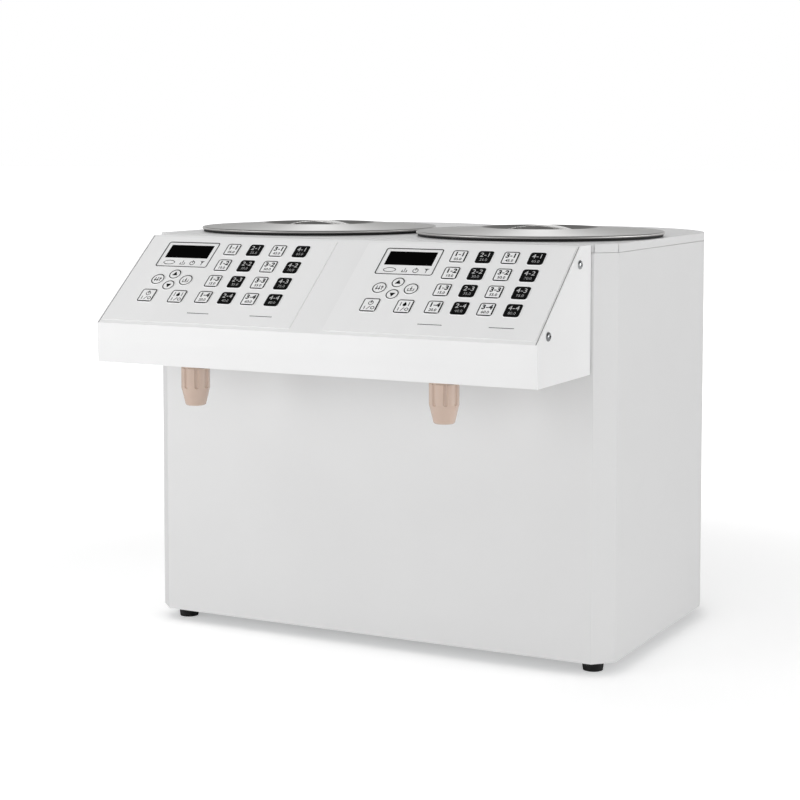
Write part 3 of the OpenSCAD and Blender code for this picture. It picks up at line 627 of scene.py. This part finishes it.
def function_marks(z):
    """Generic signs on the round and square keys: set, store, power and keep running."""
    x, y = ARROW_PLACE
    marks = [triangle(x, y + step * ARROW_STEP, 3.3 * MM, z, step < 0) for step in (-1, 1)]
    # Set: three sliders. Store: an arrow into a tray
    marks += strokes(x - ROUND_STEP, y, SLIDER_LINES, z)
    marks += strokes(x + ROUND_STEP, y, STORE_LINES, z)
    marks.append(triangle(x + ROUND_STEP, y - 0.2 * MM, 1.6 * MM, z, True))
    # Power: a ring with a stroke at the top. Keep running: a drop between two bars
    (power_x, y), (run_x, _) = menu_places()
    marks += strokes(power_x, y, POWER_LINES, z)
    marks.append(ring(power_x, y + 2.6 * MM, 2.5 * MM, z))
    marks += strokes(run_x, y, RUN_LINES, z)
    marks += [roundel(run_x, y + 2.0 * MM, 1.8 * MM, z), triangle(run_x, y + 3.6 * MM, 2.1 * MM, z)]
    # On and off below both: a stroke, a slash and a ring
    for x in (power_x, run_x):
        marks += strokes(x, y, ON_OFF_LINES, z)
        marks.append(ring(x + 3.8 * MM, y - 3.4 * MM, 1.9 * MM, z))
    return marks


def lamp_marks(z):
    """Small signs under the display: a bare oval, a tray, a running ring and a funnel."""
    oval_x, tray_x, running_x, funnel_x = LAMP_PLACES
    oval = roundel(0, 0, 2.9 * MM)
    oval.scale = (2.2, 1.0, 1)
    oval.location = (oval_x, LAMP_ROW, z)
    marks = [outlined(settled(oval), THIN_LINE)]
    marks += strokes(tray_x, LAMP_ROW, TRAY_LINES, z)
    marks += strokes(running_x, LAMP_ROW, RUNNING_LINES, z)
    marks.append(ring(running_x, LAMP_ROW - 0.2 * MM, 2.8 * MM, z))
    marks += strokes(funnel_x, LAMP_ROW, FUNNEL_LINES, z)
    marks.append(triangle(funnel_x, LAMP_ROW + 1.0 * MM, 1.5 * MM, z, True))
    return marks


def dark_ink_and_key_shadows(sizes):
    """Everything in dark ink on one film: printed outlines, dark keys, numerals and marks, and the painted
    shadow strips of the raised keys.
    """
    top = sizes.key_rise + INK_LIFT
    marks = []
    for x, y, column, row in dose_places(sizes):
        if column % 2:
            marks.append(plate(x, y, sizes.key_width, sizes.key_height, KEY_CORNER, top))
        else:
            marks += framed_with_painted_shadow(sizes, x, y, sizes.key_width, sizes.key_height, top)
            marks += key_words(sizes, x, y, column, row, top, 0.3 * MM)
    for x, y in menu_places():
        marks += framed_with_painted_shadow(sizes, x, y, *MENU_SIZE, top)
    for x, y, radius in round_places():
        marks.append(outlined(roundel(x, y, radius, top), sizes.outline))
    marks += function_marks(top) + lamp_marks(INK_LIFT)
    marks.append(outlined(plate(*FRAME_PLACE, *FRAME_SIZE, FRAME_CORNER, FRAME_LIFT), sizes.outline))
    # Two thin rules near the foot, with a bare place between them
    for x0, x1 in RULE_ENDS:
        marks.append(bar(x0, RULE_ROW, x1, RULE_ROW, THIN_LINE, RULE_LIFT))
    return marks


class DISPENSER_OT_keypads(bpy.types.Operator):
    """Embosses and prints both keypad films"""

    bl_idname = "dispenser.keypads"
    bl_label = "Print the Keypads"

    def execute(self, context):
        sizes, colours = context.scene.dispenser_sizes, context.scene.dispenser_colours
        pillows = key_pillows(sizes)
        dark = joined(dark_ink_and_key_shadows(sizes), "dark_ink_and_key_shadows")
        top = sizes.key_rise + LIGHT_INK_LIFT
        light = joined([mark for x, y, column, row in dose_places(sizes) if column % 2
            for mark in key_words(sizes, x, y, column, row, top, 0)], "light_print")
        finishes = {
            "keypad_keys": (pillows, printed_polyester("key_polyester", linear("F8F8F8")), "keypad_film"),
            "keypad_ink_and_key_shadows": (dark, screen_ink("dark_ink_and_painted_shadow", tuple(colours.ink)), "keypad_film"),
            "keypad_light_print": (light, screen_ink("light_screen_ink", linear("D2D2D2")), "keypad_film"),
        }
        slope = Matrix.Rotation(sizes.slope_angle, 4, "X")
        lift = Matrix.Translation((0, 0, sizes.film_thickness))
        for name, (piece, material, slot) in finishes.items():
            for side, sign in zip(SIDES, (-1, 1)):
                place = Matrix.Translation(Vector(sizes.slope_foot) + Vector((sign * sizes.film_x, 0, 0)))
                dress(copied(piece, f"{name}_{side}", place @ slope @ lift), material, "cabinet")
            bpy.data.objects.remove(piece)
        return {"FINISHED"}


# ---- Lid handles, seams and screws ----

# Where the cheek screws stand on the head's sides, as Y and Z in metres
SCREW_PLACES = ((-0.1463, 0.366), (-0.2148, 0.3102))
# How far each screw is turned, in degrees
SCREW_TURNS = (20, 65, 38, 5)
# Middle of the groove between the slope and a cheek, from the centre line
CHEEK_SEAM_X = 0.2194


def bevelled(piece, width, segments=3):
    """Rounds the piece's sharp edges."""
    return modified(piece, "BEVEL", width=width, segments=segments, limit_method="ANGLE")


def block(centre, size):
    """A box modelled from a cube."""
    bpy.ops.object.select_all(action="DESELECT")
    bpy.ops.mesh.primitive_cube_add(size=1, location=centre)
    bpy.context.object.scale = size
    return settled(bpy.context.object)


def cylinder(radius, bottom, top, corners):
    """An upright cylinder round the Z axis."""
    bpy.ops.object.select_all(action="DESELECT")
    bpy.ops.mesh.primitive_cylinder_add(vertices=corners, radius=radius, depth=top - bottom,
        location=(0, 0, (bottom + top) / 2))
    return settled(bpy.context.object)


class DISPENSER_OT_handles(bpy.types.Operator):
    """Bends the arched strap handle that is welded into each lid's dish"""

    bl_idname = "dispenser.handles"
    bl_label = "Bend the Lid Handles"

    def execute(self, context):
        steel = tuple(context.scene.dispenser_colours.steel)
        material = brushed_stainless("brushed_strap", shade(steel, 1.15), (0.03, 1, 1))
        width, thickness, foot_length = 22 * MM, 1.2 * MM, 9 * MM
        # From the middle to where the arch meets its feet, and to the middle of a foot
        span, foot_x = 40 * MM, 41 * MM
        for side in SIDES:
            low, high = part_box("lid_handle_" + side)
            middle = (low + high) / 2
            rise = high.z - low.z
            radius = (span ** 2 + rise ** 2) / (2 * rise)
            half = math.asin(span / radius)
            hub = high.z - radius
            reach = radius - thickness / 2
            # The strap's section at one foot, swept along the arch to the other foot
            bpy.ops.object.select_all(action="DESELECT")
            bpy.ops.mesh.primitive_plane_add(size=1, rotation=(0, -half - math.pi / 2, 0),
                location=(middle.x - reach * math.sin(half), middle.y, hub + reach * math.cos(half)))
            bpy.context.object.scale = (thickness, width, 1)
            strap = settled(bpy.context.object)
            edit()
            bpy.ops.mesh.spin(steps=28, angle=-2 * half, center=(middle.x, middle.y, hub), axis=(0, 1, 0))
            bpy.ops.mesh.select_all(action="SELECT")
            bpy.ops.mesh.remove_doubles(threshold=0.01 * MM)
            bpy.ops.mesh.fill_holes(sides=4)
            bpy.ops.mesh.normals_make_consistent(inside=False)
            done()
            feet = [block((middle.x + sign * foot_x, middle.y, low.z + thickness / 2),
                (foot_length, width, thickness)) for sign in (-1, 1)]
            parts = [bevelled(part, 0.4 * MM) for part in (strap, *feet)]
            handle = smooth(joined(parts, "lid_strap_" + side), 40)
            dress(handle, material, "lid_" + side)
            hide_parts("lid_handle_" + side)
        return {"FINISHED"}


class DISPENSER_OT_seams(bpy.types.Operator):
    """Lays a dark strip in the seam between the slope and each cheek: painted shadow of the open gap there"""

    bl_idname = "dispenser.seams"
    # What this step lays is painted shadow in the seams, not sealant
    bl_label = "Seal the Cheek Seams"

    def execute(self, context):
        sizes = context.scene.dispenser_sizes
        width, length, depth = 0.66 * MM, 119.5 * MM, 0.6 * MM
        # The strip of painted shadow starts a little way up the slope and lies sunk in the groove
        start, sunk = 0.5 * MM, 0.2 * MM
        gap_shadow_strip = block((0, start + length / 2, -sunk - depth / 2), (width, length, depth))
        smooth(bevelled(gap_shadow_strip, 0.2 * MM), 60)
        slope = Matrix.Rotation(sizes.slope_angle, 4, "X")
        both = [copied(gap_shadow_strip, "gap_shadow_strip", Matrix.Translation(Vector(sizes.slope_foot)
            + Vector((sign * CHEEK_SEAM_X, 0, 0))) @ slope) for sign in (-1, 1)]
        bpy.data.objects.remove(gap_shadow_strip)
        # The dark grey strip is painted shadow, standing in for the shade in the open gap
        dress(joined(both, "cheek_seam_shadows"), nitrile_rubber("seam_gap_shadow", linear("2B2B2B")), "cabinet")
        return {"FINISHED"}


class DISPENSER_OT_screws(bpy.types.Operator):
    """Turns the four domed cross-head screws that hold the head's cheeks"""

    bl_idname = "dispenser.screws"
    bl_label = "Turn the Cheek Screws"

    def execute(self, context):
        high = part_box("cheek_screws")[1]
        rise, slot_length, slot_width = 2.2 * MM, 3.6 * MM, 0.9 * MM
        head = cylinder(4.0 * MM, 0, 0.7 * MM, 48)
        edit(picked=False)
        faces = bmesh.from_edit_mesh(head.data).faces
        crown = max(faces, key=lambda face: face.calc_center_median().z)
        crown.select = True
        # Three insets, each rising less, round the head off
        for width, lift in ((0.6, 0.8), (1.0, 0.5), (1.1, 0.2)):
            bpy.ops.mesh.inset(thickness=width * MM, depth=lift * MM)
        done()
        shank = bevelled(cylinder(1.9 * MM, -7.9 * MM, 0.1 * MM, 32), 0.3 * MM, 2)
        recess = [block((0, 0, rise), (*size, rise))
            for size in ((slot_length, slot_width), (slot_width, slot_length))]
        for cut in recess:
            modified(head, "BOOLEAN", operation="DIFFERENCE", object=cut)
            bpy.data.objects.remove(cut)
        screw = smooth(joined([head, shank], "cheek_screw"), 40)
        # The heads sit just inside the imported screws' outermost plane
        face = high.x - rise - 0.2 * MM
        places = [(sign, y, z) for sign in (-1, 1) for y, z in SCREW_PLACES]
        copies = []
        for (sign, y, z), turn in zip(places, SCREW_TURNS):
            stand = Matrix.Translation((sign * face, y, z)) @ Matrix.Rotation(sign * math.pi / 2, 4, "Y")
            copies.append(copied(screw, "screw", stand @ Matrix.Rotation(math.radians(turn), 4, "Z")))
        bpy.data.objects.remove(screw)
        whole = joined(copies, "cheek_screw_heads")
        plating = turned_metal("nickel_plated_steel", linear("8E9092"), linear("B4B6B8"), 0.2)
        dress(whole, plating, "cabinet")
        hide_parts("cheek_screws")
        return {"FINISHED"}


# ---- Studio ----


class DISPENSER_OT_stage(bpy.types.Operator):
    """Sets up the pale floor, the soft lamps, the white room and the camera"""

    bl_idname = "dispenser.stage"
    bl_label = "Set Up the Studio"

    def execute(self, context):
        studio = context.scene.dispenser_studio
        bpy.ops.object.select_all(action="DESELECT")
        bpy.ops.mesh.primitive_plane_add(size=60, location=(0, 0, -0.0002))
        floor = context.object
        floor.name = "studio_floor"
        floor.data.materials.append(self.paper())
        self.room(studio.room)
        # Where each lamp stands, what it points at, its width in metres and its power in watts
        lamps = {
            "overhead_softbox": ((-0.9, -0.3, 2.2), (0, 0, 0.2), 2.4, 11.5),
            "left_softbox": ((-1.6, -1.9, 0.35), (0, -0.1, 0.2), 1.4, 19.5),
            "front_softbox": ((0.5, -3.0, 0.3), (0, -0.1, 0.2), 2.0, 20.0),
            "camera_side_softbox": ((2.2, -2.2, 0.6), (0, 0, 0.2), 1.4, 8.0),
            "right_softbox": ((2.6, 0.4, 0.35), (0, 0, 0.2), 1.4, 26.0),
        }
        for name, (place, aim, size, watts) in lamps.items():
            bpy.ops.object.light_add(type="AREA", location=place)
            lamp = context.object
            lamp.name = lamp.data.name = name
            lamp.data.size, lamp.data.energy = size, watts
            # Only the side lamps show in the metal
            lamp.visible_glossy = name in ("left_softbox", "right_softbox")
            lamp.rotation_euler = (Vector(place) - Vector(aim)).to_track_quat("Z", "Y").to_euler()
        bpy.ops.object.camera_add(location=studio.place,
            rotation=(math.pi / 2 - studio.pitch, 0, studio.yaw))
        camera = context.object
        camera.data.sensor_width, camera.data.lens = 36, studio.lens
        camera.data.shift_y = studio.shift
        context.scene.camera = camera
        context.scene.view_settings.view_transform = "Standard"
        return {"FINISHED"}

    def paper(self):
        """Seamless white paper that the camera sees as white, with the object's shadow left in."""
        material, tree, shader = new_material("seamless_paper", linear("FAFAFA"), 0.9)
        shader.inputs["Specular IOR Level"].default_value = 0.1
        relief(tree, shader, grain(tree, 40), 0.0001, 0.05)
        rays = add_node(tree, "ShaderNodeLightPath")
        # The glow rises away from the object, so that the floor meets the white room without a line
        coords = add_node(tree, "ShaderNodeTexCoord")
        reach = add_node(tree, "ShaderNodeVectorMath", links={0: coords.outputs["Object"]},
            operation="LENGTH")
        level = add_node(tree, "ShaderNodeMapRange",
            {"From Min": 0.45, "From Max": 1.3, "To Min": 0.37, "To Max": 1.0},
            {"Value": reach.outputs["Value"]}, interpolation_type="SMOOTHSTEP")
        glow = add_node(tree, "ShaderNodeEmission", links={"Strength": level.outputs["Result"]})
        black = add_node(tree, "ShaderNodeEmission", {"Strength": 0.0})
        lift = add_node(tree, "ShaderNodeMixShader", links={0: rays.outputs["Is Camera Ray"],
            1: black.outputs["Emission"], 2: glow.outputs["Emission"]})
        both = add_node(tree, "ShaderNodeAddShader", links={0: shader.outputs["BSDF"],
            1: lift.outputs["Shader"]})
        tree.links.new(both.outputs["Shader"], tree.nodes["Material Output"].inputs["Surface"])
        return material

    def room(self, level):
        """A white room: full white to the camera, softer as a light, and with a bright horizon, a dim ceiling
        and grey flags for the metal to mirror."""
        world = bpy.context.scene.world or bpy.data.worlds.new("room")
        bpy.context.scene.world = world
        world.use_nodes = True
        tree = world.node_tree
        rays = add_node(tree, "ShaderNodeLightPath")
        seen = add_node(tree, "ShaderNodeMath", links={0: rays.outputs["Is Camera Ray"],
            1: rays.outputs["Is Transmission Ray"]}, operation="MAXIMUM")
        direction = add_node(tree, "ShaderNodeTexCoord")
        height = add_node(tree, "ShaderNodeSeparateXYZ", links={0: direction.outputs["Generated"]})
        ceiling = add_node(tree, "ShaderNodeMapRange",
            {"From Min": 0.12, "From Max": 0.5, "To Min": 1.4, "To Max": 0.36},
            {"Value": height.outputs["Z"]}, interpolation_type="SMOOTHSTEP")
        # How far each level direction points away from the camera, from 0 to 1
        level_way = add_node(tree, "ShaderNodeVectorMath", {1: (1, 1, 0)},
            {0: direction.outputs["Generated"]}, operation="MULTIPLY")
        heading = add_node(tree, "ShaderNodeVectorMath", links={0: level_way.outputs["Vector"]},
            operation="NORMALIZE")
        yaw = bpy.context.scene.dispenser_studio.yaw
        behind = add_node(tree, "ShaderNodeVectorMath", {1: (-math.sin(yaw), math.cos(yaw), 0)},
            {0: heading.outputs["Vector"]}, operation="DOT_PRODUCT")
        turn = add_node(tree, "ShaderNodeMapRange", {"From Min": -1.0, "From Max": 1.0},
            {"Value": behind.outputs["Value"]})
        # Flags and brighter strips round the room: a place along that turn and the brightness there
        stops = ((0.0, 0.45), (0.5, 0.45), (0.52, 1.0), (0.6, 1.0), (0.62, 0.6), (0.94, 0.7), (0.985, 1.0))
        ramp = add_node(tree, "ShaderNodeValToRGB", links={"Fac": turn.outputs["Result"]})
        elements = ramp.color_ramp.elements
        while len(elements) < len(stops):
            elements.new(0.5)
        for element, (place, value) in zip(elements, stops):
            element.position, element.color = place, (value, value, value, 1)
        flags = add_node(tree, "ShaderNodeMath", links={0: ceiling.outputs["Result"],
            1: ramp.outputs["Color"]}, operation="MULTIPLY")
        mirrored = add_node(tree, "ShaderNodeMix", {2: level}, {0: rays.outputs["Is Glossy Ray"],
            3: flags.outputs["Value"]})
        strength = add_node(tree, "ShaderNodeMix", {3: 1.0}, {0: seen.outputs["Value"],
            2: mirrored.outputs[0]})
        sky = tree.nodes["Background"]
        sky.inputs["Color"].default_value = (1, 1, 1, 1)
        tree.links.new(strength.outputs[0], sky.inputs["Strength"])


class DISPENSER_PT_sidebar(bpy.types.Panel):
    """The dispenser's sizes, colours and building steps"""

    bl_label = "Dispenser"
    bl_idname = "DISPENSER_PT_sidebar"
    bl_space_type = "VIEW_3D"
    bl_region_type = "UI"
    bl_category = "Dispenser"

    def draw(self, context):
        layout = self.layout
        for group in ("dispenser_sizes", "dispenser_colours", "dispenser_studio"):
            values = getattr(context.scene, group)
            for name in values.__annotations__:
                layout.prop(values, name)
        for step in STEPS:
            layout.operator(step.bl_idname)


GROUPS = {
    "dispenser_sizes": DispenserSizes,
    "dispenser_colours": DispenserColours,
    "dispenser_studio": DispenserStudio,
}
STEPS = (DISPENSER_OT_finishes, DISPENSER_OT_keypads, DISPENSER_OT_handles, DISPENSER_OT_seams,
    DISPENSER_OT_screws, DISPENSER_OT_stage)


def register():
    for name, group in GROUPS.items():
        bpy.utils.register_class(group)
        setattr(bpy.types.Scene, name, PointerProperty(type=group))
    for part in (*STEPS, DISPENSER_PT_sidebar):
        bpy.utils.register_class(part)


def unregister():
    for part in (DISPENSER_PT_sidebar, *reversed(STEPS)):
        bpy.utils.unregister_class(part)
    for name, group in reversed(GROUPS.items()):
        delattr(bpy.types.Scene, name)
        bpy.utils.unregister_class(group)


def main():
    register()
    bpy.ops.dispenser.finishes()
    bpy.ops.dispenser.keypads()
    bpy.ops.dispenser.handles()
    bpy.ops.dispenser.seams()
    bpy.ops.dispenser.screws()
    bpy.ops.dispenser.stage()


if __name__ == "__main__":
    main()
